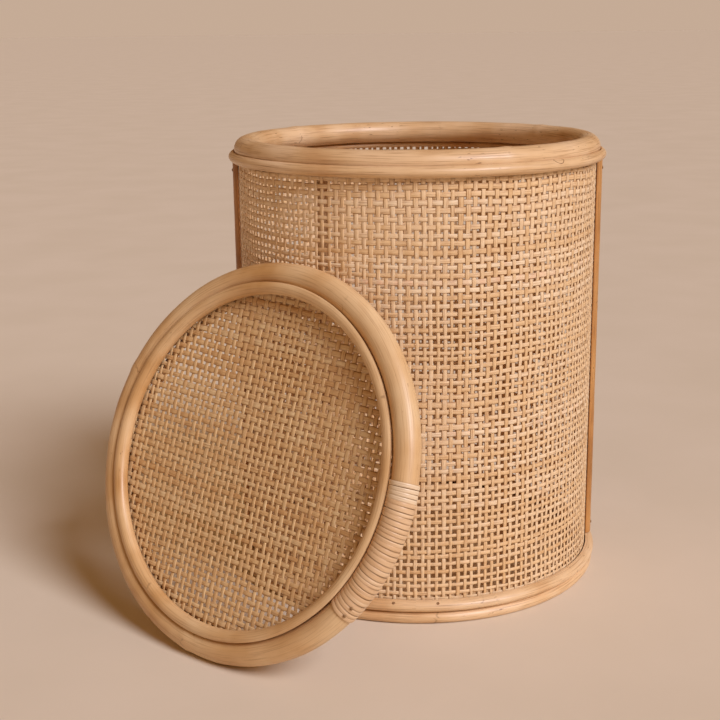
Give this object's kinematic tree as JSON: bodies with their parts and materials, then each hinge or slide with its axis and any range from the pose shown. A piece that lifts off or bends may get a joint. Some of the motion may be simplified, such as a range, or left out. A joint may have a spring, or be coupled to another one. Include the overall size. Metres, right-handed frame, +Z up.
{
  "type": "wastebasket",
  "caption": "Round bin of woven cane on rattan hoops, with a loose woven lid that leans on its wall or sits on its rim.",
  "frame": {"origin": "on the floor, on the bin's axis, at the underside of the crossed base battens", "axes": "+Z up along the bin's axis, -Y towards the front, wall seams at +X and -X, lid leaning at the front left"},
  "size_m": [0.3931, 0.4156, 0.356],
  "materials": {
    "rattan_pole": "satin varnished rattan",
    "dark_rattan": "satin varnished half-round rattan",
    "cane_webbing": "dry woven cane",
    "plywood": "bare plywood",
    "nail_steel": "dulled steel"
  },
  "bodies": {
    "bin": {"top_rim_pole": "rattan_pole", "top_outer_trim": "rattan_pole", "top_inner_trim": "rattan_pole", "bottom_outer_trim": "rattan_pole", "foot_ring": "rattan_pole", "base_hoop": "rattan_pole", "webbing_front": "cane_webbing", "webbing_back": "cane_webbing", "seam_post_right": "dark_rattan", "seam_post_left": "dark_rattan", "inner_upright_1": "rattan_pole", "inner_upright_2": "rattan_pole", "inner_upright_3": "rattan_pole", "inner_upright_4": "rattan_pole", "inner_upright_5": "rattan_pole", "inner_upright_6": "rattan_pole", "base_board": "plywood", "base_batten_long": "plywood", "base_batten_front": "plywood", "base_batten_back": "plywood", "post_nail_right_top": "nail_steel", "post_nail_right_bottom": "nail_steel", "post_nail_left_top": "nail_steel", "post_nail_left_bottom": "nail_steel", "bottom_trim_nail_1": "nail_steel", "bottom_trim_nail_2": "nail_steel", "top_trim_nail_1": "nail_steel", "top_trim_nail_2": "nail_steel"},
    "lid": {"lid_rim_pole": "rattan_pole", "lid_under_lip": "rattan_pole", "lid_top_lip": "rattan_pole", "lid_webbing": "cane_webbing", "lid_joint_wrap": "cane_webbing", "lid_joint_nail_1": "nail_steel", "lid_joint_nail_2": "nail_steel"}
  },
  "joints": [
    {"name": "lid_flip", "type": "hinge", "parent": "bin", "child": "lid", "pos_m": [-0.10578, -0.1456, 0.32099], "axis": [-0.809, 0.5878, 0], "range_deg": [0, 248.5]}
  ]
}
